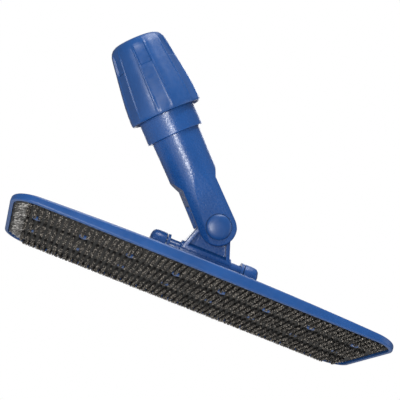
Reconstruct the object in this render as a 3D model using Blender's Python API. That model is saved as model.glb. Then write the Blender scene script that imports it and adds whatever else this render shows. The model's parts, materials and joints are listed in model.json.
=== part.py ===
"""Swivel-head scrubbing brush with a screw-clamp pole socket.

The head is a crowned plastic plate with a mat of short bristles under it. A knuckle rocks across the
plate on two trunnions, and the forked socket swings along the plate on the knuckle's pin. A clamp
collar screws down on the socket's collet to grip a pole. +X runs along the plate, +Z up from the
bristle tips, and the origin is the centre of the bristle tips.
"""

import math

import bmesh
import bpy
from mathutils import Matrix, Vector

GAP = 0.0003  # clearance between touching pieces

# Head plate
PLATE_LENGTH = 0.235
PLATE_WIDTH = 0.095
PLATE_CORNER = 0.016
PLATE_BOTTOM = 0.0013
PLATE_TOP = 0.0081
CROWN_RADIUS = 2.42
RIM = 0.0022
MAT_SEAT = 0.0039
TRAY_DEPTH = 0.0007
TRAY_WALL = 0.0038
TRAY_X = (0.0400, 0.0710, 0.0745, 0.1040)
TRAY_Y = (0.0125, 0.0155)

# Bristle mat and its rivets
MAT_THICKNESS = 0.0008
BAND_SPACING = 0.0325
BAND_TIP_WIDTH = 0.0240
BAND_ROOT_WIDTH = 0.0220
BAND_TIP_LENGTH = 0.2150
BAND_ROOT_LENGTH = 0.2110
RIVET_ROW = 0.01625
RIVET_PITCH = 0.02884
RIVETS_PER_ROW = 8
RIVET_HEAD_RADIUS = 0.0027
RIVET_HEAD_FACE = 0.0009
RIVET_SHANK_RADIUS = 0.0013
RIVET_TIP = 0.0048

# Rocking trunnion, along X
TRUNNION_HEIGHT = 0.0223
TRUNNION_RADIUS = 0.0040
TRUNNION_END = 0.0329
BEARING_INNER = 0.0256
BEARING_OUTER = 0.0350
BEARING_RADIUS = 0.0062
CAP_DOME = 0.0035
SADDLE_HALF_WIDTH = 0.0044
CAP_FOOT = 0.0084
FLANGE_THICKNESS = 0.0023
FLANGE_HALF_WIDTH = 0.0130
SCREW_Y = 0.0096
SCREW_X = 0.0303
SCREW_HEAD_RADIUS = 0.0024
SCREW_HEAD_HEIGHT = 0.0015
SCREW_SHANK_RADIUS = 0.0012
SCREW_TIP = 0.0046
WASHER_INNER = 0.0233
WASHER_OUTER = 0.0249

# Knuckle and its pin, along Y
PIN_RISE = 0.0200  # above the trunnion's axis
ROCK = math.radians(14.2)  # at rest, towards -Y
PIN_RADIUS = 0.0038
EYE_RADIUS = 0.0086
KNUCKLE_HALF_DEPTH = 0.0060
WEB_HALF_DEPTH = 0.0014
RIB_THICKNESS = 0.0024
RIB_SLOPE = math.radians(19.5)
KNUCKLE_BASE = 0.0010  # above the trunnion's axis
BARREL_RADIUS = 0.0056
BARREL_HALF_LENGTH = 0.0162
BUSH_RADIUS = 0.0049
FRICTION_WASHER_RADIUS = 0.0082
FRICTION_WASHER_THICKNESS = 0.0007

# Socket: heights are distances from the pin along the pole's axis
SOCKET_LEAN = math.radians(45.4)
EAR_END_RADIUS = 0.0113
EAR_HALF_WIDTH = 0.0107
EAR_INNER = KNUCKLE_HALF_DEPTH + FRICTION_WASHER_THICKNESS + 2 * GAP
EAR_FACE = 0.0124
EAR_FACE_SLOPE = math.radians(3.7)
EAR_ROUNDING = 0.0008
FORK_DEPTH = 0.0184
SHOULDER_LOW = 0.0283
SHOULDER_HIGH = 0.0362
NECK_RADIUS = 0.0148
BAND_LOW = 0.0611
BAND_HIGH = 0.0805
BAND_RADIUS = 0.0177
THREAD_RADIUS = 0.0164
THREAD_HIGH = 0.0920
COLLET_RADIUS = 0.0142
COLLET_END = 0.1090
COLLET_SLOT = 0.0022
POLE_RADIUS = 0.0117
POLE_STOP = 0.0460
HEAD_RECESS_RADIUS = 0.0081
HEAD_RECESS_FLOOR = 0.0112
HEAD_RADIUS = 0.0075
HEAD_CROWN = 0.0144
SPIGOT_END = 0.0131

# Clamp collar
COLLAR_LOW = 0.0748
COLLAR_HIGH = 0.1230
COLLAR_LOW_RADIUS = 0.0222
COLLAR_HIGH_RADIUS = 0.0176
COLLAR_MOUTH_RADIUS = 0.0120
COLLAR_PANELS = 6
PANEL_STEPS = 8
PANEL_DEPTH = 0.0008
WEDGE_LOW = 0.0995
WEDGE_HIGH = 0.1130
WEDGE_LOW_RADIUS = 0.0166
WEDGE_HIGH_RADIUS = 0.0156

ROUND = 32  # sides of a round piece
SMALL_ROUND = 12


def clear_scene():
    for thing in list(bpy.data.objects):
        bpy.data.objects.remove(thing)


def material(name, colour, roughness, metallic=0.0):
    made = bpy.data.materials.new(name)
    made.use_nodes = True
    shader = made.node_tree.nodes["Principled BSDF"]
    shader.inputs["Base Color"].default_value = (*colour, 1.0)
    shader.inputs["Roughness"].default_value = roughness
    shader.inputs["Metallic"].default_value = metallic
    made.diffuse_color = (*colour, 1.0)
    return made


def axis_empty(name, location, parent=None, turn=(0.0, 0.0, 0.0)):
    empty = bpy.data.objects.new(name, None)
    bpy.context.collection.objects.link(empty)
    empty.parent = parent
    empty.location = location
    empty.rotation_euler = turn
    return empty


def piece(name, shape, finish=None, parent=None):
    """An object from a bmesh; without a finish it is a cutter."""
    bmesh.ops.remove_doubles(shape, verts=shape.verts, dist=1e-7)
    bmesh.ops.recalc_face_normals(shape, faces=shape.faces)
    mesh = bpy.data.meshes.new(name)
    shape.to_mesh(mesh)
    shape.free()
    made = bpy.data.objects.new(name, mesh)
    bpy.context.collection.objects.link(made)
    made.parent = parent
    if finish:
        mesh.materials.append(finish)
        mesh.shade_smooth()
        mesh.set_sharp_from_angle(angle=math.radians(32))
    else:
        made.hide_render = True
        made.display_type = "WIRE"
    return made


def combine(target, tool, operation):
    step = target.modifiers.new(f"{operation.lower()}_{tool.name}", "BOOLEAN")
    step.operation = operation
    step.solver = "EXACT"
    step.object = tool


def prism(outline, low, high, axis="Z"):
    """A closed solid: the outline's points extruded from low to high along an axis.

    Outline points are (x, y) for axis Z, (x, z) for axis Y and (y, z) for axis X.
    """
    placed = {
        "X": lambda a, b: Vector((low, a, b)),
        "Y": lambda a, b: Vector((a, low, b)),
        "Z": lambda a, b: Vector((a, b, low)),
    }[axis]
    way = {"X": Vector((1, 0, 0)), "Y": Vector((0, 1, 0)), "Z": Vector((0, 0, 1))}[axis]
    shape = bmesh.new()
    face = shape.faces.new([shape.verts.new(placed(a, b)) for a, b in outline])
    grown = bmesh.ops.extrude_face_region(shape, geom=[face], use_keep_orig=True)
    top = [v for v in grown["geom"] if isinstance(v, bmesh.types.BMVert)]
    bmesh.ops.translate(shape, verts=top, vec=way * (high - low))
    return shape


def block(x, y, z):
    """A box from three (low, high) spans."""
    return prism([(x[0], y[0]), (x[1], y[0]), (x[1], y[1]), (x[0], y[1])], z[0], z[1])


def lathe(profile, steps=ROUND, axis="Z"):
    """A closed (radius, height) profile turned round an axis."""
    shape = bmesh.new()
    points = [shape.verts.new((radius, 0.0, height)) for radius, height in profile]
    edges = [shape.edges.new(pair) for pair in zip(points, points[1:] + points[:1])]
    bmesh.ops.spin(
        shape, geom=points + edges, axis=(0, 0, 1), cent=(0, 0, 0), dvec=(0, 0, 0),
        angle=math.tau, steps=steps, use_merge=True, use_duplicate=False,
    )
    loose = [e for e in shape.edges if not e.link_faces]
    bmesh.ops.delete(shape, geom=loose, context="EDGES")
    turn = {
        "X": Matrix.Rotation(math.radians(90), 4, "Y"),
        "Y": Matrix.Rotation(math.radians(-90), 4, "X"),
        "Z": Matrix.Identity(4),
    }[axis]
    bmesh.ops.transform(shape, matrix=turn, verts=shape.verts)
    return shape


def rod(radius, low, high, axis="Z", steps=ROUND):
    return lathe([(0.0, low), (radius, low), (radius, high), (0.0, high)], steps, axis)


def ring(inner, outer, low, high, axis="Z", steps=ROUND):
    return lathe([(inner, low), (outer, low), (outer, high), (inner, high)], steps, axis)


def moved(shape, offset):
    bmesh.ops.translate(shape, verts=shape.verts, vec=offset)
    return shape


def arc(centre, radius, start, end, steps):
    """Points on a circle from one angle to another, in degrees."""
    turns = [math.radians(start + (end - start) * i / steps) for i in range(steps + 1)]
    return [(centre[0] + radius * math.cos(t), centre[1] + radius * math.sin(t)) for t in turns]


def rounded_rectangle(length, width, corner, steps=8):
    x = length / 2 - corner
    y = width / 2 - corner
    outline = []
    for centre, start in (((x, y), 0), ((-x, y), 90), ((-x, -y), 180), ((x, -y), 270)):
        outline += arc(centre, corner, start, start + 90, steps)
    return outline


def inset_slab(inset, low, high):
    outline = rounded_rectangle(
        PLATE_LENGTH - 2 * inset, PLATE_WIDTH - 2 * inset, PLATE_CORNER - inset
    )
    return prism(outline, low, high)


def crown_body(drop, above):
    """The space above or below the plate's crowned top, lowered by drop."""
    reach = 0.140
    steps = 28
    outline = []
    for i in range(steps + 1):
        x = -reach + 2 * reach * i / steps
        sag = CROWN_RADIUS - math.sqrt(CROWN_RADIUS**2 - x**2)
        outline.append((x, PLATE_TOP - drop - sag))
    far = 0.030 if above else 0.0
    outline += [(reach, far), (-reach, far)]
    return prism(outline, -0.060, 0.060, "Y")


def rivet_places():
    for row, y in (("near", -RIVET_ROW), ("far", RIVET_ROW)):
        for i in range(RIVETS_PER_ROW):
            yield f"{row}_{i + 1}", Vector(((i - (RIVETS_PER_ROW - 1) / 2) * RIVET_PITCH, y, 0.0))


def screw_places():
    for side, x in (("left", -SCREW_X), ("right", SCREW_X)):
        for row, y in (("near", -SCREW_Y), ("far", SCREW_Y)):
            yield f"{side}_{row}", Vector((x, y, 0.0))


def tray_cells():
    """Pockets in the plate's top between its stiffening ribs, two columns at each end."""
    cells = bmesh.new()
    edge = PLATE_WIDTH / 2
    rows = ((-edge, -TRAY_Y[1]), (-TRAY_Y[0], TRAY_Y[0]), (TRAY_Y[1], edge))
    for low, high in (TRAY_X[:2], TRAY_X[2:]):
        for side in (-1, 1):
            for row in rows:
                x = sorted((side * low, side * high))
                cell = block(x, row, (0.0, 0.025))
                mesh = bpy.data.meshes.new("cell")
                cell.to_mesh(mesh)
                cell.free()
                cells.from_mesh(mesh)
                bpy.data.meshes.remove(mesh)
    return cells


def head_plate(finish):
    plate = piece("head_plate", inset_slab(0.0, PLATE_BOTTOM, 0.025), finish)
    combine(plate, piece("crown_cutter", crown_body(0.0, above=False)), "INTERSECT")

    tray = piece("tray_cutter", tray_cells())
    combine(tray, piece("tray_limit", inset_slab(TRAY_WALL, 0.001, 0.024)), "INTERSECT")
    combine(tray, piece("tray_depth", crown_body(TRAY_DEPTH, above=True)), "INTERSECT")
    combine(plate, tray, "DIFFERENCE")
    combine(plate, piece("mat_seat_cutter", inset_slab(RIM, 0.0, MAT_SEAT)), "DIFFERENCE")

    for side, sign in (("left", -1), ("right", 1)):
        x = sorted((sign * (BEARING_INNER + 0.0006), sign * (TRUNNION_END - 0.0002)))
        saddle = block(x, (-SADDLE_HALF_WIDTH, SADDLE_HALF_WIDTH), (0.006, TRUNNION_HEIGHT - GAP))
        combine(plate, piece(f"saddle_{side}", saddle), "UNION")
    bore = moved(rod(TRUNNION_RADIUS + GAP, -0.040, 0.040, "X"), (0, 0, TRUNNION_HEIGHT))
    combine(plate, piece("trunnion_bore", bore), "DIFFERENCE")

    for name, place in rivet_places():
        hole = rod(RIVET_SHANK_RADIUS + GAP, 0.001, RIVET_TIP + GAP, steps=SMALL_ROUND)
        combine(plate, piece(f"rivet_hole_{name}", moved(hole, place)), "DIFFERENCE")
    for name, place in screw_places():
        hole = rod(SCREW_SHANK_RADIUS + GAP, SCREW_TIP - GAP, 0.020, steps=SMALL_ROUND)
        combine(plate, piece(f"screw_hole_{name}", moved(hole, place)), "DIFFERENCE")


def bristles(mat_finish, bristle_finish, rivet_finish):
    mat_top = MAT_SEAT - GAP
    mat_bottom = mat_top - MAT_THICKNESS
    mat = piece("bristle_mat", inset_slab(RIM + GAP, mat_bottom, mat_top), mat_finish)
    for name, place in rivet_places():
        hole = rod(RIVET_SHANK_RADIUS + GAP, 0.001, 0.012, steps=SMALL_ROUND)
        combine(mat, piece(f"mat_hole_{name}", moved(hole, place)), "DIFFERENCE")

    for name, y in (("near", -BAND_SPACING), ("middle", 0.0), ("far", BAND_SPACING)):
        x = BAND_TIP_LENGTH / 2
        half = BAND_TIP_WIDTH / 2
        band = block((-x, x), (-half, half), (0.0, mat_bottom - GAP))
        roots = [v for v in band.verts if v.co.z > GAP]
        narrow = Matrix.Diagonal(
            (BAND_ROOT_LENGTH / BAND_TIP_LENGTH, BAND_ROOT_WIDTH / BAND_TIP_WIDTH, 1.0, 1.0)
        )
        bmesh.ops.transform(band, matrix=narrow, verts=roots)
        piece(f"bristle_band_{name}", moved(band, (0, y, 0)), bristle_finish)

    head_top = mat_bottom - GAP
    for name, place in rivet_places():
        profile = [
            (0.0, RIVET_HEAD_FACE),
            (RIVET_HEAD_RADIUS - 0.0006, RIVET_HEAD_FACE),
            (RIVET_HEAD_RADIUS, RIVET_HEAD_FACE + 0.0006),
            (RIVET_HEAD_RADIUS, head_top),
            (RIVET_SHANK_RADIUS, head_top),
            (RIVET_SHANK_RADIUS, RIVET_TIP),
            (0.0, RIVET_TIP),
        ]
        piece(f"mat_rivet_{name}", moved(lathe(profile, SMALL_ROUND), place), rivet_finish)


def bearing_caps(finish, screw_finish):
    """Inverted U caps that hold the trunnion down on the plate's saddles."""
    axis_level = Vector((0, 0, TRUNNION_HEIGHT))
    dome = BEARING_OUTER - CAP_DOME
    for side, sign in (("left", -1), ("right", 1)):
        profile = [(0.0, BEARING_INNER), (BEARING_RADIUS, BEARING_INNER), (BEARING_RADIUS, dome)]
        for radius, height in arc((BEARING_RADIUS - CAP_DOME, dome), CAP_DOME, 15, 90, 4):
            profile.append((radius, height))
        profile.append((0.0, BEARING_OUTER))
        housing = lathe(profile, ROUND, "X")
        bmesh.ops.scale(housing, vec=(sign, 1, 1), verts=housing.verts)
        cap = piece(f"bearing_cap_{side}", moved(housing, axis_level), finish)

        wall_x = sorted((sign * (BEARING_INNER + 0.0002), sign * (BEARING_OUTER - 0.0012)))
        width = BEARING_RADIUS - 0.0001
        walls = block(wall_x, (-width, width), (CAP_FOOT, TRUNNION_HEIGHT))
        combine(cap, piece(f"cap_walls_{side}", walls), "UNION")
        foot_x = sorted((sign * 0.0268, sign * 0.0338))
        foot_y = (-FLANGE_HALF_WIDTH, FLANGE_HALF_WIDTH)
        feet = block(foot_x, foot_y, (CAP_FOOT + 0.0001, CAP_FOOT + FLANGE_THICKNESS))
        combine(cap, piece(f"cap_feet_{side}", feet), "UNION")

        inside = sorted((sign * 0.0200, sign * (TRUNNION_END + GAP)))
        bore = moved(rod(TRUNNION_RADIUS + GAP, inside[0], inside[1], "X"), axis_level)
        combine(cap, piece(f"cap_bore_{side}", bore), "DIFFERENCE")
        slot_y = SADDLE_HALF_WIDTH + GAP
        slot = block(inside, (-slot_y, slot_y), (0.006, TRUNNION_HEIGHT + 0.0001))
        combine(cap, piece(f"cap_slot_{side}", slot), "DIFFERENCE")
        for name, place in screw_places():
            if name.startswith(side):
                hole = rod(SCREW_SHANK_RADIUS + GAP, 0.006, 0.014, steps=SMALL_ROUND)
                combine(cap, piece(f"cap_hole_{name}", moved(hole, place)), "DIFFERENCE")

    seat = CAP_FOOT + FLANGE_THICKNESS + GAP
    for name, place in screw_places():
        profile = [
            (0.0, SCREW_TIP),
            (SCREW_SHANK_RADIUS, SCREW_TIP),
            (SCREW_SHANK_RADIUS, seat),
            (SCREW_HEAD_RADIUS, seat),
            (SCREW_HEAD_RADIUS, seat + SCREW_HEAD_HEIGHT / 2),
            (SCREW_HEAD_RADIUS * 0.6, seat + SCREW_HEAD_HEIGHT),
            (0.0, seat + SCREW_HEAD_HEIGHT),
        ]
        piece(f"cap_screw_{name}", moved(lathe(profile, SMALL_ROUND), place), screw_finish)


def knuckle_outline(offset):
    """Sides sloping in to the eye, seen along Y, with everything offset inwards; z from the pin."""
    radius = EYE_RADIUS - offset
    base = KNUCKLE_BASE - PIN_RISE + offset
    half = (radius - base * math.sin(RIB_SLOPE)) / math.cos(RIB_SLOPE)
    over = arc((0.0, 0.0), radius, math.degrees(RIB_SLOPE), 180 - math.degrees(RIB_SLOPE), 16)
    return [(-half, base), (half, base)] + over


def knuckle(finish, washer_finish, rock_axis):
    rise = PIN_RISE
    depth = KNUCKLE_HALF_DEPTH
    body = piece("knuckle", moved(prism(knuckle_outline(0.0), -depth, depth, "Y"), (0, 0, rise)),
                 finish, rock_axis)
    for side, low, high in (("near", -0.02, -WEB_HALF_DEPTH), ("far", WEB_HALF_DEPTH, 0.02)):
        pocket = moved(prism(knuckle_outline(RIB_THICKNESS), low, high, "Y"), (0, 0, rise))
        combine(body, piece(f"knuckle_pocket_{side}", pocket, parent=rock_axis), "DIFFERENCE")
    eye = moved(rod(EYE_RADIUS - 0.0001, -depth + 1e-5, depth - 1e-5, "Y"), (0, 0, rise))
    combine(body, piece("knuckle_eye", eye, parent=rock_axis), "UNION")
    cross = lathe(
        [
            (0.0, -TRUNNION_END),
            (TRUNNION_RADIUS, -TRUNNION_END),
            (TRUNNION_RADIUS, -BARREL_HALF_LENGTH),
            (BARREL_RADIUS, -BARREL_HALF_LENGTH),
            (BARREL_RADIUS, BARREL_HALF_LENGTH),
            (TRUNNION_RADIUS, BARREL_HALF_LENGTH),
            (TRUNNION_RADIUS, TRUNNION_END),
            (0.0, TRUNNION_END),
        ],
        ROUND,
        "X",
    )
    combine(body, piece("knuckle_trunnions", cross, parent=rock_axis), "UNION")
    hole = moved(rod(BUSH_RADIUS + GAP, -0.02, 0.02, "Y"), (0, 0, rise))
    combine(body, piece("knuckle_hole", hole, parent=rock_axis), "DIFFERENCE")

    for side, sign in (("left", -1), ("right", 1)):
        low, high = sorted((sign * WASHER_INNER, sign * WASHER_OUTER))
        washer = ring(TRUNNION_RADIUS + GAP, BEARING_RADIUS - 0.0001, low, high, "X")
        piece(f"trunnion_washer_{side}", washer, washer_finish, rock_axis)


def pin_pieces(pin_finish, bush_finish, washer_finish, pin_axis, rock_axis):
    """The domed pin and its cap turn with the socket; the bush stays in the knuckle's eye."""
    rise = Vector((0, 0, PIN_RISE))
    depth = KNUCKLE_HALF_DEPTH
    bush = ring(PIN_RADIUS + GAP, BUSH_RADIUS, -depth, depth, "Y")
    piece("pivot_bush", moved(bush, rise), bush_finish, rock_axis)
    for side, sign in (("near", -1), ("far", 1)):
        inner = depth + GAP
        low, high = sorted((sign * inner, sign * (inner + FRICTION_WASHER_THICKNESS)))
        washer = ring(PIN_RADIUS + GAP, FRICTION_WASHER_RADIUS, low, high, "Y")
        piece(f"friction_washer_{side}", washer, washer_finish, pin_axis)

    seat = HEAD_RECESS_FLOOR + GAP
    spigot = 0.0030
    dome = [
        (HEAD_RADIUS, seat),
        (HEAD_RADIUS, EAR_FACE + 0.0002),
        (HEAD_RADIUS - 0.0006, EAR_FACE + 0.0008),
        (HEAD_RADIUS * 0.78, HEAD_CROWN - 0.0006),
        (HEAD_RADIUS * 0.45, HEAD_CROWN - 0.0001),
        (0.0, HEAD_CROWN),
    ]
    profile = [(0.0, -SPIGOT_END), (spigot, -SPIGOT_END), (spigot, -seat), (PIN_RADIUS, -seat), (PIN_RADIUS, seat)]
    pin = lathe(profile + dome, ROUND, "Y")
    bmesh.ops.scale(pin, vec=(1, -1, 1), verts=pin.verts)
    piece("pivot_pin", pin, pin_finish, pin_axis)
    inside = [(0.0, SPIGOT_END + GAP), (spigot + GAP, SPIGOT_END + GAP), (spigot + GAP, seat + GAP)]
    cap = lathe(inside + [(HEAD_RADIUS, seat + GAP)] + dome[1:], ROUND, "Y")
    piece("pivot_pin_cap", cap, pin_finish, pin_axis)


def socket_outline():
    """The fork's side view: a round end at the pin, straight ears, then shoulders to the barrel."""
    wide = 0.030
    end = arc((0.0, 0.0), EAR_END_RADIUS, 180, 360, 16)
    neck = NECK_RADIUS + 0.0003
    shoulders = [(EAR_HALF_WIDTH, SHOULDER_LOW), (neck, SHOULDER_HIGH), (wide, SHOULDER_HIGH + 0.010)]
    top = [(wide, 0.150), (-wide, 0.150)]
    return end + shoulders + top + [(-x, z) for x, z in reversed(shoulders)]


def socket(finish, pin_axis):
    stem = [
        (0.0, -0.0120),
        (NECK_RADIUS, -0.0120),
        (NECK_RADIUS, SHOULDER_HIGH),
        (NECK_RADIUS + 0.0004, BAND_LOW + 0.0010),
        (0.0, BAND_LOW + 0.0010),
    ]
    upper = [
        (0.0, BAND_LOW),
        (BAND_RADIUS, BAND_LOW),
        (BAND_RADIUS, BAND_HIGH),
        (THREAD_RADIUS, BAND_HIGH),
        (THREAD_RADIUS, THREAD_HIGH),
        (COLLET_RADIUS, THREAD_HIGH),
        (COLLET_RADIUS, COLLET_END - 0.0010),
        (COLLET_RADIUS - 0.0008, COLLET_END),
        (0.0, COLLET_END),
    ]
    body = piece("pole_socket", lathe(stem), finish, pin_axis)
    shape = prism(socket_outline(), -1.0, 1.0, "Y")
    for vertex in shape.verts:
        vertex.co.y *= EAR_FACE + vertex.co.z * math.tan(EAR_FACE_SLOPE)
    envelope = piece("socket_envelope", shape, parent=pin_axis)
    rounding = envelope.modifiers.new("rounding", "BEVEL")
    rounding.width = EAR_ROUNDING
    rounding.segments = 3
    rounding.angle_limit = math.radians(40)
    combine(body, envelope, "INTERSECT")
    combine(body, piece("socket_upper", lathe(upper), parent=pin_axis), "UNION")
    bore = rod(POLE_RADIUS, POLE_STOP, COLLET_END + 0.005)
    combine(body, piece("pole_bore", bore, parent=pin_axis), "DIFFERENCE")

    for side, sign in (("near", -1), ("far", 1)):
        recess = sorted((sign * HEAD_RECESS_FLOOR, sign * 0.020))
        seat = rod(HEAD_RECESS_RADIUS, recess[0], recess[1], "Y")
        combine(body, piece(f"head_recess_{side}", seat, parent=pin_axis), "DIFFERENCE")

    fork = block((-0.030, 0.030), (-EAR_INNER, EAR_INNER), (-0.030, FORK_DEPTH))
    combine(body, piece("fork_cutter", fork, parent=pin_axis), "DIFFERENCE")
    hole = rod(PIN_RADIUS + GAP, -0.025, 0.025, "Y")
    combine(body, piece("pin_hole", hole, parent=pin_axis), "DIFFERENCE")
    half = COLLET_SLOT / 2
    reach = COLLET_RADIUS + 0.005
    for name, x, y in (("x", reach, half), ("y", half, reach)):
        slit = block((-x, x), (-y, y), (THREAD_HIGH + 0.0015, COLLET_END + 0.005))
        combine(body, piece(f"collet_slit_{name}", slit, parent=pin_axis), "DIFFERENCE")


def wedge_ring(finish, travel_axis):
    """A split tapered ring that the collar drives along the collet."""
    inner = COLLET_RADIUS + GAP
    profile = [
        (inner, WEDGE_LOW),
        (WEDGE_LOW_RADIUS, WEDGE_LOW),
        (WEDGE_HIGH_RADIUS, WEDGE_HIGH),
        (inner, WEDGE_HIGH),
    ]
    body = piece("wedge_ring", lathe(profile, ROUND), finish, travel_axis)
    split = block((0.0, 0.030), (-0.0011, 0.0011), (0.090, 0.120))
    combine(body, piece("wedge_split", split, parent=travel_axis), "DIFFERENCE")


def clamp_collar(finish, collar_axis):
    """A hollow tapered nut whose flat grip panels lie between shallow flutes."""
    shoulder = 0.0045
    rim = COLLAR_HIGH - shoulder
    slope = (COLLAR_LOW_RADIUS - COLLAR_HIGH_RADIUS) / (rim - COLLAR_LOW)
    outside = [(COLLAR_LOW_RADIUS - 0.0004, COLLAR_LOW), (COLLAR_LOW_RADIUS, COLLAR_LOW + 0.0008)]
    for i in range(1, 4):
        height = COLLAR_LOW + (rim - COLLAR_LOW) * i / 3
        outside.append((COLLAR_LOW_RADIUS - slope * (height - COLLAR_LOW), height))
    centre = (COLLAR_HIGH_RADIUS - shoulder, rim)
    outside += arc(centre, shoulder, 22, 90, 3)
    inside = [
        (COLLAR_MOUTH_RADIUS, COLLAR_HIGH),
        (COLLAR_MOUTH_RADIUS, WEDGE_HIGH + 0.0005),
        (WEDGE_HIGH_RADIUS + 0.0004, WEDGE_HIGH + 0.0005),
        (WEDGE_LOW_RADIUS + 0.0004, WEDGE_LOW - 0.0005),
        (THREAD_RADIUS + 0.0004, WEDGE_LOW - 0.0015),
        (THREAD_RADIUS + 0.0004, BAND_HIGH + 0.0050),
        (BAND_RADIUS + 0.0009, BAND_HIGH + 0.0045),
        (BAND_RADIUS + 0.0009, COLLAR_LOW + 0.0035),
        (COLLAR_LOW_RADIUS - 0.0022, COLLAR_LOW),
    ]
    shape = lathe(outside + inside, COLLAR_PANELS * PANEL_STEPS)
    pitch = math.tau / COLLAR_PANELS
    for vertex in shape.verts:
        radius = vertex.co.xy.length
        line = COLLAR_LOW_RADIUS - slope * (vertex.co.z - COLLAR_LOW)
        if radius > line - 0.0006 and COLLAR_LOW + 0.0004 < vertex.co.z < rim + 0.0001:
            angle = math.atan2(vertex.co.y, vertex.co.x) % pitch
            step = round(angle / pitch * PANEL_STEPS) % PANEL_STEPS
            if step in (0, 1, 2):
                vertex.co.xy *= (radius - PANEL_DEPTH) / radius
    piece("clamp_collar", shape, finish, collar_axis)


def main():
    clear_scene()
    blue = material("blue_moulded_plastic", (0.022, 0.085, 0.36), 0.35)
    black = material("black_nylon_bristle", (0.02, 0.02, 0.02), 0.6)
    mat_black = material("black_mat_plastic", (0.012, 0.012, 0.013), 0.7)
    acetal = material("white_acetal", (0.75, 0.75, 0.72), 0.4)
    steel = material("zinc_plated_steel", (0.62, 0.62, 0.62), 0.35, 1.0)

    rock_axis = axis_empty("rock_axis", (0.0, 0.0, TRUNNION_HEIGHT), turn=(ROCK, 0.0, 0.0))
    rise = (0.0, 0.0, PIN_RISE)
    pin_axis = axis_empty("pin_axis", rise, rock_axis, (0.0, -SOCKET_LEAN, 0.0))
    travel_axis = axis_empty("travel_axis", (0.0, 0.0, 0.0), pin_axis)
    collar_axis = axis_empty("collar_axis", (0.0, 0.0, 0.0), travel_axis)

    head_plate(blue)
    bristles(mat_black, black, blue)
    bearing_caps(blue, steel)
    knuckle(blue, blue, rock_axis)
    pin_pieces(blue, acetal, acetal, pin_axis, rock_axis)
    socket(blue, pin_axis)
    wedge_ring(acetal, travel_axis)
    clamp_collar(blue, collar_axis)


main()
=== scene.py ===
"""Swivel-head scrubbing brush with a screw-clamp pole socket, finished for rendering."""

import json
import math
import random

import bmesh
import bpy
from mathutils import Euler, Matrix, Vector


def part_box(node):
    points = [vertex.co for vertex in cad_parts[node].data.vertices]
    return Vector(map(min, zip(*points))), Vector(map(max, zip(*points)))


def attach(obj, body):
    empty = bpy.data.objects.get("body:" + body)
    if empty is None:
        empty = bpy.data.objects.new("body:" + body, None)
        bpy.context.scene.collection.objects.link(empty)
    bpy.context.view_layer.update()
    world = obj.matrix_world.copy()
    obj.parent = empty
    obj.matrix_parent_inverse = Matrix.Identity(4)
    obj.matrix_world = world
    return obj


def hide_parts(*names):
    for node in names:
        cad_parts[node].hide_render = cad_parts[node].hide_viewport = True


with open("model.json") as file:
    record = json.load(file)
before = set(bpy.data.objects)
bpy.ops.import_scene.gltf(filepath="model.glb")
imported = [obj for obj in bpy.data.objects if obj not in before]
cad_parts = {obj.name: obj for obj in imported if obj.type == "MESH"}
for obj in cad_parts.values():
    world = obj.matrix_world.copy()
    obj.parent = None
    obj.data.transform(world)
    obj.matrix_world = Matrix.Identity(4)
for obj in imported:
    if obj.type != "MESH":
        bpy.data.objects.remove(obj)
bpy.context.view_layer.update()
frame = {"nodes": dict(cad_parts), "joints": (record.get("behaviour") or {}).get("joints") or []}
joints = {joint["name"]: joint for joint in frame["joints"]}

# Camera: level with the brush's underside and a little below it, looking up at the bristles,
# rolled so that the head runs down to the right.
lens = bpy.data.cameras.new("portrait_lens")
lens.lens = 84.38
lens.sensor_width = 36.0
lens.clip_start = 0.01
camera = bpy.data.objects.new("portrait_camera", lens)
bpy.context.collection.objects.link(camera)
camera.location = (-0.08700, -0.53880, -0.13907)
camera.rotation_euler = Euler([math.radians(angle) for angle in (110.8827, -18.5816, -14.6611)])
bpy.context.scene.camera = camera
bpy.context.scene.view_settings.view_transform = "Standard"


# Studio: a white surround, a soft key lamp low on the left, a smaller lamp beside the camera, one over
# the plate's front edge, and wide weak lamps above, on the right and behind. The pale floor is well
# below the brush, because the camera is too.
def linear(code):
    """An sRGB hex colour as linear RGBA."""
    channels = [int(code[i:i + 2], 16) / 255 for i in (0, 2, 4)]
    return (*[c / 12.92 if c <= 0.04045 else ((c + 0.055) / 1.055) ** 2.4 for c in channels], 1.0)


def add_node(tree, kind, links=(), **values):
    """Adds a node. links are (its input, another node's output); a value's name is a setting or an input."""
    node = tree.nodes.new(kind)
    for name, value in values.items():
        if hasattr(node, name):
            setattr(node, name, value)
    for name, value in values.items():
        if not hasattr(node, name):
            node.inputs[name.replace("_", " ")].default_value = value
    for name, source in links:
        tree.links.new(node.inputs[name], source)
    return node


surround = bpy.data.worlds.new("white_surround")
surround.use_nodes = True
tree = surround.node_tree
tree.nodes.clear()
seen = add_node(tree, "ShaderNodeLightPath")
strength = add_node(tree, "ShaderNodeMapRange", [("Value", seen.outputs["Is Camera Ray"])])
strength.inputs["To Min"].default_value = 0.25
strength.inputs["To Max"].default_value = 1.0
glow = add_node(tree, "ShaderNodeBackground", [("Strength", strength.outputs["Result"])])
glow.inputs["Color"].default_value = linear("FFFFFF")
add_node(tree, "ShaderNodeOutputWorld", [("Surface", glow.outputs["Background"])])
bpy.context.scene.world = surround

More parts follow.
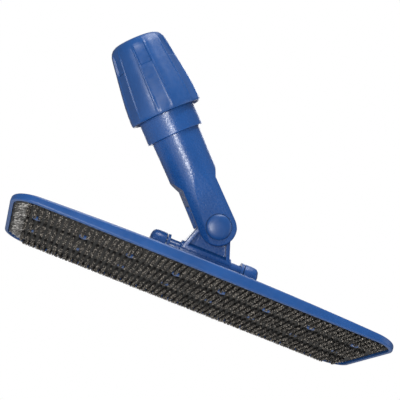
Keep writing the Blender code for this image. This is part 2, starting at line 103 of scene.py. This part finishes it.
brush_middle = Vector((-0.03, 0.0, 0.05))
for name, place, size, power in (
    ("key_lamp", (-0.43, -0.66, -0.16), 0.16, 1.3),
    ("camera_lamp", (-0.15, -0.62, -0.17), 0.09, 2.2),
    ("edge_lamp", (-0.07, -0.45, 0.55), 0.12, 1.1),
    ("high_lamp", (-0.10, -0.20, 0.80), 0.60, 5.0),
    ("right_lamp", (0.80, -0.30, 0.25), 0.60, 1.2),
    ("back_lamp", (0.10, 0.80, 0.55), 0.60, 3.5),
):
    lamp = bpy.data.lights.new(name, "AREA")
    lamp.energy = power
    lamp.size = size
    holder = bpy.data.objects.new(name, lamp)
    bpy.context.collection.objects.link(holder)
    holder.location = place
    aim = brush_middle - Vector(place)
    holder.rotation_euler = aim.to_track_quat("-Z", "Y").to_euler()

floor_paint = bpy.data.materials.new("matt_white_floor_paint")
floor_paint.use_nodes = True
shader = floor_paint.node_tree.nodes["Principled BSDF"]
shader.inputs["Base Color"].default_value = linear("EDEDEA")
shader.inputs["Roughness"].default_value = 0.8
shape = bmesh.new()
bmesh.ops.create_grid(shape, x_segments=1, y_segments=1, size=1.3)
bmesh.ops.translate(shape, verts=shape.verts, vec=(0, 0, -0.30))
floor_mesh = bpy.data.meshes.new("studio_floor")
shape.to_mesh(floor_mesh)
shape.free()
floor_mesh.materials.append(floor_paint)
studio_floor = bpy.data.objects.new("studio_floor", floor_mesh)
bpy.context.collection.objects.link(studio_floor)


# Head plate: one injection moulding in smooth blue polypropylene, crowned along its length, with a
# plain rim round the recess for the bristle mat and shallow pockets between ribs on its top. The
# handle's mouldings come from spark-eroded moulds, whose satin grain breaks up the highlights.
def moulded_polypropylene(name, colour, grain, depth, roughness):
    """grain is the size of the mould's pits in metres. Real ones are near 0.2 mm and would not show."""
    made = bpy.data.materials.new(name)
    made.use_nodes = True
    tree = made.node_tree
    shader = tree.nodes["Principled BSDF"]
    place = add_node(tree, "ShaderNodeTexCoord").outputs["Object"]
    pits = add_node(
        tree, "ShaderNodeTexNoise", [("Vector", place)], Scale=1 / grain, Detail=2.0, Roughness=0.5
    ).outputs["Fac"]
    flow_size = 0.030
    flow = add_node(
        tree, "ShaderNodeTexNoise", [("Vector", place)], Scale=1 / flow_size, Detail=2.0
    ).outputs["Fac"]
    tint = add_node(tree, "ShaderNodeValToRGB", [("Fac", flow)])
    dark, light = colour
    tint.color_ramp.elements[0].position = 0.35
    tint.color_ramp.elements[0].color = linear(dark)
    tint.color_ramp.elements[1].position = 0.65
    tint.color_ramp.elements[1].color = linear(light)
    tree.links.new(shader.inputs["Base Color"], tint.outputs["Color"])
    sheen = add_node(
        tree, "ShaderNodeMapRange", [("Value", pits)],
        From_Min=0.3, From_Max=0.7, To_Min=roughness - 0.06, To_Max=roughness + 0.06,
    )
    tree.links.new(shader.inputs["Roughness"], sheen.outputs["Result"])
    relief = add_node(
        tree, "ShaderNodeBump", [("Height", pits)], Strength=1.0, Distance=depth
    )
    tree.links.new(shader.inputs["Normal"], relief.outputs["Normal"])
    shader.inputs["IOR"].default_value = 1.49
    return made


grained_blue = moulded_polypropylene(
    "grained_blue_polypropylene", ("16427C", "1B4A88"), grain=0.0012, depth=0.00012, roughness=0.29
)
smooth_blue = moulded_polypropylene(
    "smooth_blue_polypropylene", ("17437C", "1C4B88"), grain=0.0030, depth=0.00002, roughness=0.34
)


def made_object(name, shape, finish):
    """Turns a bmesh into an object with its faces outwards and its sharp edges kept."""
    bmesh.ops.remove_doubles(shape, verts=shape.verts, dist=1e-6)
    bmesh.ops.recalc_face_normals(shape, faces=shape.faces)
    mesh = bpy.data.meshes.new(name)
    shape.to_mesh(mesh)
    shape.free()
    made = bpy.data.objects.new(name, mesh)
    bpy.context.collection.objects.link(made)
    if finish:
        mesh.materials.append(finish)
    mesh.shade_smooth()
    mesh.set_sharp_from_angle(angle=math.radians(28))
    return made


def carve(piece, shape, operation="DIFFERENCE", sharp=28):
    """Cuts a bmesh from a piece, adds it or keeps what they share, and drops the tool."""
    tool = made_object("tool", shape, None)
    step = piece.modifiers.new("carve", "BOOLEAN")
    step.operation = operation
    step.solver = "EXACT"
    step.object = tool
    graph = bpy.context.evaluated_depsgraph_get()
    mesh = bpy.data.meshes.new_from_object(piece.evaluated_get(graph))
    old = piece.data
    piece.modifiers.remove(step)
    piece.data = mesh
    bpy.data.meshes.remove(old)
    tool_mesh = tool.data
    bpy.data.objects.remove(tool)
    bpy.data.meshes.remove(tool_mesh)
    mesh.shade_smooth()
    mesh.set_sharp_from_angle(angle=math.radians(sharp))


def round_edges(shape, radius, segments=3, over=40):
    """Bevels the edges whose faces meet at more than an angle."""
    sharp = [e for e in shape.edges if e.is_manifold and e.calc_face_angle(0) > math.radians(over)]
    bmesh.ops.bevel(
        shape, geom=sharp, offset=radius, segments=segments, affect="EDGES", profile=0.5, material=-1,
        clamp_overlap=True,
    )


def rounded_block(low, high, radius, segments=3):
    shape = bmesh.new()
    bmesh.ops.create_cube(shape, size=1.0)
    bmesh.ops.scale(shape, vec=[b - a for a, b in zip(low, high)], verts=shape.verts)
    bmesh.ops.translate(shape, vec=[(a + b) / 2 for a, b in zip(low, high)], verts=shape.verts)
    if radius:
        round_edges(shape, radius, segments)
    return shape


def rounded_slab(length, width, corner, low, high):
    """A flat-topped slab with round corners, standing on z."""
    shape = rounded_block((-length / 2, -width / 2, low), (length / 2, width / 2, high), 0)
    upright = [e for e in shape.edges if abs(e.verts[0].co.z - e.verts[1].co.z) > 1e-5]
    bmesh.ops.bevel(
        shape, geom=upright, offset=corner, segments=14, affect="EDGES", profile=0.5, material=-1
    )
    return shape


plate_low, plate_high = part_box("head_plate")
plate_length = plate_high[0] - plate_low[0]
plate_width = plate_high[1] - plate_low[1]
plate_bottom = plate_low[2]
plate_crest = 0.0081
plate_corner = 0.016
crown_radius = 2.42
crown_step = 0.0098
rim_width = 0.0022
recess_length = plate_length - 2 * rim_width
recess_width = plate_width - 2 * rim_width
recess_corner = plate_corner - rim_width
mat_seat = 0.0039
trunnion_height = joints["knuckle_rock"]["pos_m"][2]

shape = rounded_slab(plate_length, plate_width, plate_corner, plate_bottom, plate_crest)
for i in range(-11, 12):
    bmesh.ops.bisect_plane(
        shape, geom=shape.verts[:] + shape.edges[:] + shape.faces[:],
        plane_co=(i * crown_step, 0, 0), plane_no=(1, 0, 0),
    )
for vertex in shape.verts:
    if vertex.co.z > plate_crest - 1e-5:
        vertex.co.z -= crown_radius - math.sqrt(crown_radius**2 - vertex.co.x**2)
for radius, at_top in ((0.0016, True), (0.0009, False)):
    rim = [
        e for e in shape.edges
        if e.is_manifold and e.calc_face_angle(0) > math.radians(60)
        and all((v.co.z > plate_bottom + 0.0015) == at_top for v in e.verts)
    ]
    bmesh.ops.bevel(
        shape, geom=rim, offset=radius, segments=6, affect="EDGES", profile=0.5, material=-1,
        clamp_overlap=True,
    )
plate = made_object("crowned_plate", shape, smooth_blue)
carve(plate, rounded_slab(recess_length, recess_width, recess_corner, -0.002, mat_seat))
pocket_depth = 0.0007
trunnion_bore = 0.0043
for side in (-1, 1):
    for near_x, far_x in ((0.0400, 0.0710), (0.0745, 0.1040)):
        middle = (near_x + far_x) / 2
        top = plate_crest - middle**2 / (2 * crown_radius)
        for low_y, high_y in ((-0.0437, -0.0155), (-0.0125, 0.0125), (0.0155, 0.0437)):
            pocket = rounded_block(
                (near_x - middle, low_y, -pocket_depth), (far_x - middle, high_y, 0.004), 0.0006
            )
            bmesh.ops.rotate(
                pocket, verts=pocket.verts, cent=(0, 0, 0),
                matrix=Matrix.Rotation(side * middle / crown_radius, 3, "Y"),
            )
            bmesh.ops.translate(pocket, verts=pocket.verts, vec=(side * middle, 0, top))
            carve(plate, pocket)
    saddle = rounded_block(
        (min(side * 0.0262, side * 0.0327), -0.0044, 0.0060),
        (max(side * 0.0262, side * 0.0327), 0.0044, trunnion_height - 0.0003), 0.0004, 2,
    )
    carve(plate, saddle, "UNION")


def turned(profile, steps=96, matrix=None, radius=0.0, over=30):
    """A closed (radius, height) profile spun round Z, its corners rounded, then put in place."""
    shape = bmesh.new()
    points = [shape.verts.new((r, 0.0, z)) for r, z in profile]
    for first, second in zip(points, points[1:] + points[:1]):
        if first.co.x > 0 or second.co.x > 0:
            shape.edges.new((first, second))
    bmesh.ops.spin(
        shape, geom=shape.verts[:] + shape.edges[:], axis=(0, 0, 1), cent=(0, 0, 0), dvec=(0, 0, 0),
        angle=math.tau, steps=steps, use_merge=True, use_duplicate=False,
    )
    bmesh.ops.remove_doubles(shape, verts=shape.verts, dist=1e-6)
    bmesh.ops.recalc_face_normals(shape, faces=shape.faces)
    if radius:
        round_edges(shape, radius, 3, over)
    if matrix:
        bmesh.ops.transform(shape, matrix=matrix, verts=shape.verts)
    return shape


along_x = Matrix.Translation((0, 0, trunnion_height)) @ Matrix.Rotation(math.radians(90), 4, "Y")
cradle = [(0, -0.04), (trunnion_bore, -0.04), (trunnion_bore, 0.04), (0, 0.04)]
carve(plate, turned(cradle, 48, along_x))
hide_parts("head_plate")
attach(plate, "head")

# Mat: a thin black sheet that the tufts are stapled through, dull and slightly mottled.
mat_sheet = bpy.data.materials.new("black_polyethylene_sheet")
mat_sheet.use_nodes = True
tree = mat_sheet.node_tree
shader = tree.nodes["Principled BSDF"]
place = add_node(tree, "ShaderNodeTexCoord").outputs["Object"]
scuff = add_node(tree, "ShaderNodeTexNoise", [("Vector", place)], Scale=1 / 0.0022, Detail=4.0)
tone = add_node(tree, "ShaderNodeValToRGB", [("Fac", scuff.outputs["Fac"])])
tone.color_ramp.elements[0].color = linear("0A0A0B")
tone.color_ramp.elements[1].color = linear("121111")
tree.links.new(shader.inputs["Base Color"], tone.outputs["Color"])
relief = add_node(
    tree, "ShaderNodeBump", [("Height", scuff.outputs["Fac"])], Strength=0.6, Distance=0.0002
)
tree.links.new(shader.inputs["Normal"], relief.outputs["Normal"])
shader.inputs["Roughness"].default_value = 0.62
frame["nodes"]["bristle_mat"].data.materials.clear()
frame["nodes"]["bristle_mat"].data.materials.append(mat_sheet)


# Bristles: short tufts of crimped black nylon in three bands, set in lines across the head. Use has
# splayed them. Their colour is painted: darker towards the roots for the shade among the tufts, and paler
# grey and tan towards the tips for painted highlights, with random flecks of tone on top. Each filament
# is drawn about twice as thick as the real 0.25 mm, because a finer one would not show.
def crimped_nylon(name, stops, speck):
    """stops are (position, colour) from the darkest filaments to the palest, which carry the painted
    highlights.
    """
    made = bpy.data.materials.new(name)
    made.use_nodes = True
    tree = made.node_tree
    shader = tree.nodes["Principled BSDF"]
    place = add_node(tree, "ShaderNodeTexCoord").outputs["Object"]
    patch = add_node(tree, "ShaderNodeTexNoise", [("Vector", place)], Scale=1 / speck, Detail=3.0)
    height = add_node(tree, "ShaderNodeSeparateXYZ", [("Vector", place)])
    # Painted light by height: darker towards the roots (painted shade among the tufts), paler towards the
    # tips (painted highlight).
    painted_depth_light = add_node(
        tree, "ShaderNodeMapRange", [("Value", height.outputs["Z"])],
        From_Min=0.0026, From_Max=0.0, To_Min=-0.16, To_Max=0.10,
    )
    tone_and_painted_light = add_node(tree, "ShaderNodeMath", operation="ADD")
    tree.links.new(tone_and_painted_light.inputs[0], patch.outputs["Fac"])
    tree.links.new(tone_and_painted_light.inputs[1], painted_depth_light.outputs["Result"])
    tone = add_node(tree, "ShaderNodeValToRGB", [("Fac", tone_and_painted_light.outputs["Value"])])
    ramp = tone.color_ramp
    while len(ramp.elements) < len(stops):
        ramp.elements.new(0.5)
    for element, (position, code) in zip(ramp.elements, stops):
        element.position = position
        element.color = linear(code)
    tree.links.new(shader.inputs["Base Color"], tone.outputs["Color"])
    shader.inputs["Roughness"].default_value = 0.42
    shader.inputs["IOR"].default_value = 1.53
    return made


black_nylon = crimped_nylon(
    "black_crimped_nylon",
    ((0.42, "0B0A0A"), (0.57, "1E1C1A"), (0.64, "69625B"), (0.73, "BDB5AB")), 0.0008,
)
# Pale grey nylon: a painted highlight for the splayed end bristles catching the light.
highlight_grey_nylon = crimped_nylon(
    "painted_highlight_grey_nylon", ((0.30, "2E2C2A"), (0.46, "7A7876"), (0.60, "E4E1DD")), 0.0014
)


def filament(shape, foot, lean, turn, length, radius):
    """One bent bristle from its foot down to its tip, with a flat cut end."""
    ring = bmesh.ops.create_circle(shape, cap_ends=False, radius=radius, segments=3)["verts"]
    outward = Vector((math.cos(turn), math.sin(turn), 0.0))
    bmesh.ops.translate(shape, verts=ring, vec=foot)
    edges = list({e for v in ring for e in v.link_edges})
    for share, drop in ((0.25, 0.45), (0.75, 0.55)):
        grown = bmesh.ops.extrude_edge_only(shape, edges=edges)["geom"]
        ring = [g for g in grown if isinstance(g, bmesh.types.BMVert)]
        edges = [
            g for g in grown if isinstance(g, bmesh.types.BMEdge) and all(v in ring for v in g.verts)
        ]
        bmesh.ops.translate(shape, verts=ring, vec=outward * lean * share - Vector((0, 0, length * drop)))
    bmesh.ops.contextual_create(shape, geom=edges)


tuft_length = 0.0025
tuft_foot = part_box("bristle_mat")[0][2]
chance = random.Random(41)
tuft_kinds = []
for kind in range(6):
    shape = bmesh.new()
    count = 10
    for i in range(count):
        turn = math.tau * i / count + chance.uniform(-0.3, 0.3)
        spread = chance.uniform(0.0002, 0.0009)
        foot = Vector((math.cos(turn) * spread * 0.8, math.sin(turn) * spread * 1.25, 0.0))
        filament(
            shape, foot, chance.uniform(0.0001, 0.0006), turn,
            tuft_length + chance.uniform(-0.0003, 0.0003), chance.uniform(0.00022, 0.00033),
        )
    bmesh.ops.recalc_face_normals(shape, faces=shape.faces)
    mesh = bpy.data.meshes.new(f"tuft_kind_{kind}")
    shape.to_mesh(mesh)
    shape.free()
    tuft_kinds.append(mesh)

tuft_pitch = 0.0036
edge_pitch = 0.0022
row_pitch = 0.00415
rows = 6
arc_x = recess_length / 2 - recess_corner
arc_y = recess_width / 2 - recess_corner
for band in ("near", "middle", "far"):
    low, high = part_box(f"bristle_band_{band}")
    middle_y = (low[1] + high[1]) / 2
    shift = 0.0010 if band == "far" else 0.0
    shape = bmesh.new()
    for row in range(rows):
        y = middle_y + shift + (row - (rows - 1) / 2) * row_pitch
        pitch = edge_pitch if band == "far" and row == rows - 1 else tuft_pitch
        x = low[0] + 0.0016
        while x < high[0] + 0.0052:
            spot = Vector((x + chance.uniform(-0.0002, 0.0002), y + chance.uniform(-0.0003, 0.0003), 0.0))
            spot.z = tuft_foot
            x += pitch
            past_arc = math.hypot(max(0.0, abs(spot.x) - arc_x), max(0.0, abs(spot.y) - arc_y))
            if past_arc > recess_corner - 0.0010:
                continue
            before = len(shape.verts)
            shape.from_mesh(chance.choice(tuft_kinds))
            shape.verts.ensure_lookup_table()
            placed = Matrix.Translation(spot) @ Matrix.Rotation(chance.uniform(-0.25, 0.25), 4, "Z")
            bmesh.ops.transform(shape, matrix=placed, verts=shape.verts[before:])
    mesh = bpy.data.meshes.new(f"tufts_{band}")
    shape.to_mesh(mesh)
    shape.free()
    mesh.materials.append(black_nylon)
    mesh.shade_smooth()
    tufts = bpy.data.objects.new(f"tufts_{band}", mesh)
    bpy.context.collection.objects.link(tufts)
    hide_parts(f"bristle_band_{band}")
    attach(tufts, "head")

# Splayed end bristles: the outermost tufts at one end have been pressed flat towards the rim. Their
# pale grey is a painted highlight, where they catch the light from the left.
shape = bmesh.new()
end_x = plate_low[0] + rim_width
end_count = 230
for i in range(end_count):
    y = -0.040 + 0.080 * (i + chance.uniform(-0.5, 0.5)) / (end_count - 1)
    inset = max(0.0, abs(y) - 0.034) * 0.6
    foot = Vector((end_x + 0.0088 + inset + chance.uniform(-0.0006, 0.0016), y, tuft_foot))
    filament(
        shape, foot, chance.uniform(0.0050, 0.0076), math.pi + chance.uniform(-0.22, 0.22),
        chance.uniform(0.0008, 0.0019), chance.uniform(0.00022, 0.00034),
    )
bmesh.ops.recalc_face_normals(shape, faces=shape.faces)
end_bristles = made_object("splayed_end_bristles", shape, highlight_grey_nylon)
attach(end_bristles, "head")

# Mat rivets: small blue drive rivets in two rows between the bands, with low domed heads.
for row in ("near", "far"):
    for i in range(1, 9):
        node = f"mat_rivet_{row}_{i}"
        low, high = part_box(node)
        radius = (high[0] - low[0]) / 2
        face = low[2] + (0.0005 if row == "near" else 0.0014)
        centre = Matrix.Translation(((low[0] + high[0]) / 2, (low[1] + high[1]) / 2, 0))
        profile = [
            (0.0, face), (radius * 0.55, face + 0.0001), (radius * 0.88, face + 0.0003),
            (radius, face + 0.0005), (radius, tuft_foot - 0.0001), (0.0013, tuft_foot - 0.0001),
            (0.0013, high[2]), (0.0, high[2]),
        ]
        rivet = made_object(f"drive_rivet_{row}_{i}", turned(profile, 24, centre), smooth_blue)
        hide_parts(node)
        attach(rivet, "head")

# Bearing caps: blue mouldings with a domed end that hold the trunnion down on the plate's saddles.
for side, sign in (("left", -1), ("right", 1)):
    low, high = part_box(f"bearing_cap_{side}")
    inner, outer = 0.0256, 0.0350
    way = along_x if sign > 0 else along_x @ Matrix.Rotation(math.pi, 4, "X")
    dome = [
        (0.0, inner), (0.0062, inner), (0.0062, outer - 0.0035), (0.0058, outer - 0.0019),
        (0.0046, outer - 0.0007), (0.0027, outer), (0.0, outer),
    ]
    cap = made_object(f"domed_cap_{side}", turned(dome, 64, way, 0.0004, 50), grained_blue)
    foot = low[2]
    wall = sorted((sign * (inner + 0.0001), sign * (outer - 0.0012)))
    carve(cap, rounded_block((wall[0], -0.0061, foot), (wall[1], 0.0061, trunnion_height), 0.0005), "UNION")
    pad = sorted((sign * 0.0268, sign * 0.0338))
    carve(cap, rounded_block((pad[0], -0.0130, foot), (pad[1], 0.0130, foot + 0.0024), 0.0006), "UNION")
    hollow = sorted((sign * 0.0200, sign * 0.0332))
    carve(cap, rounded_block((hollow[0], -0.0047, 0.0), (hollow[1], 0.0047, trunnion_height), 0))
    bore = [(0, 0.02), (trunnion_bore, 0.02), (trunnion_bore, 0.0332), (0, 0.0332)]
    carve(cap, turned(bore, 48, way))
    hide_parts(f"bearing_cap_{side}")
    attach(cap, "head")

# Cap screws: zinc-plated pan heads with a cross recess.
zinc_plate = bpy.data.materials.new("bright_zinc_plate")
zinc_plate.use_nodes = True
tree = zinc_plate.node_tree
shader = tree.nodes["Principled BSDF"]
place = add_node(tree, "ShaderNodeTexCoord").outputs["Object"]
spangle = add_node(tree, "ShaderNodeTexNoise", [("Vector", place)], Scale=1 / 0.0008, Detail=2.0)
haze = add_node(tree, "ShaderNodeMapRange", [("Value", spangle.outputs["Fac"])], To_Min=0.22, To_Max=0.45)
tree.links.new(shader.inputs["Roughness"], haze.outputs["Result"])
shader.inputs["Base Color"].default_value = linear("C9CCD0")
shader.inputs["Metallic"].default_value = 1.0
for side in ("left", "right"):
    for row in ("near", "far"):
        node = f"cap_screw_{side}_{row}"
        low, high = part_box(node)
        centre = Matrix.Translation(((low[0] + high[0]) / 2, (low[1] + high[1]) / 2, 0))
        top = high[2]
        profile = [
            (0.0, low[2]), (0.0012, low[2]), (0.0012, top - 0.0015), (0.0024, top - 0.0015),
            (0.0024, top - 0.0007), (0.0019, top - 0.0002), (0.0010, top), (0.0, top),
        ]
        screw = made_object(f"pan_screw_{side}_{row}", turned(profile, 32, centre), zinc_plate)
        for wide, deep in ((0.0013, 0.0003), (0.0003, 0.0013)):
            slot = rounded_block((-wide, -deep, top - 0.0008), (wide, deep, top + 0.001), 0)
            bmesh.ops.transform(slot, matrix=centre, verts=slot.verts)
            carve(screw, slot)
        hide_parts(node)
        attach(screw, "head")

# Knuckle: a ribbed blue moulding with two sloping flanges round a thin web, an eye for the pin at
# its top and a trunnion through its foot.
pin_place = Vector(joints["yoke_swing"]["pos_m"])
pin_way = Vector(joints["yoke_swing"]["axis"]).normalized()
trunnion_place = Vector(joints["knuckle_rock"]["pos_m"])
up = (pin_place - trunnion_place).normalized()
knuckle_axes = Matrix((Vector((1, 0, 0)), pin_way, up)).transposed()
knuckle_frame = Matrix.Translation(pin_place) @ knuckle_axes.to_4x4()
pin_rise = (pin_place - trunnion_place).length
across_pin = Matrix.Rotation(math.radians(-90), 4, "X")


def sloping_outline(offset, depth_low, depth_high, radius):
    """The knuckle's side view, offset inwards, as a slab across the pin's axis."""
    eye = 0.0086 - offset
    slope = math.radians(19.5)
    base = 0.0010 - pin_rise + offset
    half = (eye - base * math.sin(slope)) / math.cos(slope)
    shape = bmesh.new()
    corners = [(-half, base), (half, base)]
    for i in range(25):
        turn = slope + (math.pi - 2 * slope) * i / 24
        corners.append((eye * math.cos(turn), eye * math.sin(turn)))
    face = shape.faces.new([shape.verts.new((x, depth_low, z)) for x, z in corners])
    grown = bmesh.ops.extrude_face_region(shape, geom=[face], use_keep_orig=True)["geom"]
    far = [g for g in grown if isinstance(g, bmesh.types.BMVert)]
    bmesh.ops.translate(shape, verts=far, vec=(0, depth_high - depth_low, 0))
    bmesh.ops.recalc_face_normals(shape, faces=shape.faces)
    if radius:
        round_edges(shape, radius, 2, over=50)
    bmesh.ops.transform(shape, matrix=knuckle_frame, verts=shape.verts)
    return shape


rib_width = 0.0024
half_web = 0.0014
knuckle = made_object("ribbed_knuckle", sloping_outline(0.0, -0.0060, 0.0060, 0.0004), grained_blue)
carve(knuckle, sloping_outline(rib_width, -0.0200, -half_web, 0))
carve(knuckle, sloping_outline(rib_width, half_web, 0.0200, 0))
eye = [(0, -0.00598), (0.0085, -0.00598), (0.0085, 0.00598), (0, 0.00598)]
carve(knuckle, turned(eye, 64, knuckle_frame @ across_pin, 0.0004), "UNION")
cross = [
    (0, -0.0329), (0.0040, -0.0329), (0.0040, -0.0162), (0.0056, -0.0162), (0.0056, 0.0162),
    (0.0040, 0.0162), (0.0040, 0.0329), (0, 0.0329),
]
carve(knuckle, turned(cross, 64, along_x, 0.0004), "UNION")
hole = [(0, -0.02), (0.0052, -0.02), (0.0052, 0.02), (0, 0.02)]
carve(knuckle, turned(hole, 64, knuckle_frame @ across_pin))
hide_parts("knuckle")
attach(knuckle, "knuckle_body")
for node in ("trunnion_washer_left", "trunnion_washer_right"):
    frame["nodes"][node].data.materials.clear()
    frame["nodes"][node].data.materials.append(smooth_blue)

# Bush, friction washers and wedge ring: turned white acetal, waxy and slightly translucent.
acetal = bpy.data.materials.new("machined_white_acetal")
acetal.use_nodes = True
tree = acetal.node_tree
shader = tree.nodes["Principled BSDF"]
place = add_node(tree, "ShaderNodeTexCoord").outputs["Object"]
turning = add_node(tree, "ShaderNodeTexNoise", [("Vector", place)], Scale=1 / 0.0006, Detail=2.0)
wax = add_node(tree, "ShaderNodeMapRange", [("Value", turning.outputs["Fac"])], To_Min=0.34, To_Max=0.50)
tree.links.new(shader.inputs["Roughness"], wax.outputs["Result"])
shader.inputs["Base Color"].default_value = linear("E4E3DC")
shader.inputs["Subsurface Weight"].default_value = 0.15
shader.inputs["Subsurface Scale"].default_value = 0.001
for node in ("pivot_bush", "friction_washer_near", "friction_washer_far", "wedge_ring"):
    frame["nodes"][node].data.materials.clear()
    frame["nodes"][node].data.materials.append(acetal)

# Forked pole socket: a blue moulding whose round barrel runs down into two flat ears with rounded
# edges; a plain raised ring stops the collar, and the upper end is a slit collet.
pole_way = Vector(joints["collar_turn"]["axis"]).normalized()
pole_axes = Matrix((pin_way.cross(pole_way), pin_way, pole_way)).transposed()
pole_frame = Matrix.Translation(pin_place) @ pole_axes.to_4x4()
pole_bore = 0.0117
ear_crease = 12  # degrees: the barrel meets the flat ears at so small an angle that 28 would lose the edge
barrel = [(0.0, -0.0120), (0.0148, -0.0120), (0.0148, 0.0400), (0.0152, 0.0621), (0.0, 0.0621)]
socket = made_object("forked_socket", turned(barrel, 128, pole_frame), grained_blue)

ear_half = 0.0107
ear_end_radius = 0.0113
ear_face = 0.0124
face_slope = math.tan(math.radians(3.7))
shape = bmesh.new()
corners = []
for i in range(33):
    turn = math.pi + math.pi * i / 32
    corners.append((ear_end_radius * math.cos(turn), ear_end_radius * math.sin(turn)))
side_view = [(ear_half, 0.0283), (0.0151, 0.0362), (0.030, 0.0462), (0.030, 0.150)]
corners += side_view + [(-x, z) for x, z in reversed(side_view)]
face = shape.faces.new([shape.verts.new((x, -1.0, z)) for x, z in corners])
grown = bmesh.ops.extrude_face_region(shape, geom=[face], use_keep_orig=True)["geom"]
far = [g for g in grown if isinstance(g, bmesh.types.BMVert)]
bmesh.ops.translate(shape, verts=far, vec=(0, 2, 0))
for vertex in shape.verts:
    vertex.co.y *= ear_face + vertex.co.z * face_slope
bmesh.ops.recalc_face_normals(shape, faces=shape.faces)
round_edges(shape, 0.0008, 3, over=60)
bmesh.ops.transform(shape, matrix=pole_frame, verts=shape.verts)
carve(socket, shape, "INTERSECT", sharp=ear_crease)
ring_and_collet = [
    (0.0, 0.0611), (0.0177, 0.0611), (0.0177, 0.0805), (0.0164, 0.0805), (0.0164, 0.0920),
    (0.0142, 0.0920), (0.0142, 0.1090), (0.0, 0.1090),
]
carve(socket, turned(ring_and_collet, 128, pole_frame, 0.0005, 50), "UNION", sharp=ear_crease)
hollow = [(0.0, 0.0460), (pole_bore, 0.0460), (pole_bore, 0.1150), (0.0, 0.1150)]
carve(socket, turned(hollow, 96, pole_frame), sharp=ear_crease)
fork = rounded_block((-0.030, -0.0073, -0.030), (0.030, 0.0073, 0.0184), 0.0005, 2)
bmesh.ops.transform(fork, matrix=pole_frame, verts=fork.verts)
carve(socket, fork, sharp=ear_crease)
for low, high in ((-0.020, -0.0112), (0.0112, 0.020)):
    seat = [(0, low), (0.0081, low), (0.0081, high), (0, high)]
    carve(socket, turned(seat, 64, pole_frame @ across_pin), sharp=ear_crease)
pin_hole = [(0, -0.025), (0.0041, -0.025), (0.0041, 0.025), (0, 0.025)]
carve(socket, turned(pin_hole, 48, pole_frame @ across_pin), sharp=ear_crease)
for wide, deep in ((0.020, 0.0011), (0.0011, 0.020)):
    slit = rounded_block((-wide, -deep, 0.0935), (wide, deep, 0.114), 0)
    bmesh.ops.transform(slit, matrix=pole_frame, verts=slit.verts)
    carve(socket, slit, sharp=ear_crease)
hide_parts("pole_socket")
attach(socket, "yoke")

# Pin: smooth blue heads on both sides of the fork, slightly domed, each in its round recess.
for node, name, sign in (("pivot_pin", "domed_pin", -1), ("pivot_pin_cap", "domed_pin_cap", 1)):
    head = [
        (0.0, 0.0115), (0.0077, 0.0115), (0.0077, 0.0127), (0.0073, 0.0132), (0.0063, 0.0137),
        (0.0045, 0.0141), (0.0024, 0.0143), (0.0, 0.0144),
    ]
    if sign < 0:
        head = [(0.0, -0.0113), (0.0038, -0.0113), (0.0038, 0.0115)] + head[1:]
    way = pole_frame @ across_pin
    if sign < 0:
        way = way @ Matrix.Rotation(math.pi, 4, "X")
    pin = made_object(name, turned(head, 64, way), smooth_blue)
    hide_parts(node)
    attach(pin, "yoke")

# Clamp collar: a tapered blue nut, flaring faster near its top, with six narrow sunk panels
# between six broad ones. Thin raised lines edge the panels, and each narrow one ends in a notch.
wall = [
    (0.0212, 0.0748), (0.0219, 0.0751), (0.0223, 0.0760), (0.0223, 0.0785), (0.0221, 0.0830),
    (0.0217, 0.0880), (0.0211, 0.0930), (0.0204, 0.0980), (0.01965, 0.1030), (0.0193, 0.1056),
    (0.0192, 0.1062), (0.0189, 0.1080),
    (0.0182, 0.1130), (0.0176, 0.1170), (0.0172, 0.1188), (0.0164, 0.1206), (0.0152, 0.1220),
    (0.0136, 0.1229), (0.0128, 0.1230),
]
inside = [
    (0.0120, 0.1224), (0.0120, 0.1135), (0.0160, 0.1135), (0.0170, 0.0990), (0.0168, 0.0980),
    (0.0168, 0.0855), (0.0186, 0.0850), (0.0186, 0.0783), (0.0208, 0.0750),
]
steps = 216
shape = turned(wall + inside, steps)
facing = math.radians(-97.0)
pitch = math.tau / 6
half_panel = math.radians(12.5)
line = math.radians(360 / steps) * 0.8
line_height = 0.00012
panel_depth = 0.0002
notch_depth = 0.0008
notch_start = 0.1060
for vertex in shape.verts:
    radius = vertex.co.xy.length
    height = vertex.co.z
    if radius < 0.0171 or not 0.0755 < height < 0.1189 or (radius < 0.0202 and height < 0.0860):
        continue
    turn = (math.atan2(vertex.co.y, vertex.co.x) - facing + pitch / 2) % pitch - pitch / 2
    fade = min(1.0, (height - 0.0755) / 0.004, (0.1195 - height) / 0.003)
    if abs(abs(turn) - half_panel) < line:
        change = line_height
    elif abs(turn) < half_panel:
        depth = panel_depth if height < notch_start else notch_depth
        change = radius * (math.cos(half_panel) / math.cos(turn) - 1) - depth
    else:
        share = (abs(turn) - half_panel) / (pitch / 2 - half_panel)
        change = -0.0004 * (1 - share) ** 2
    vertex.co.xy *= (radius + change * fade) / radius
bmesh.ops.transform(shape, matrix=pole_frame, verts=shape.verts)
collar = made_object("grip_collar", shape, smooth_blue)
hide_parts("clamp_collar")
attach(collar, "collar")
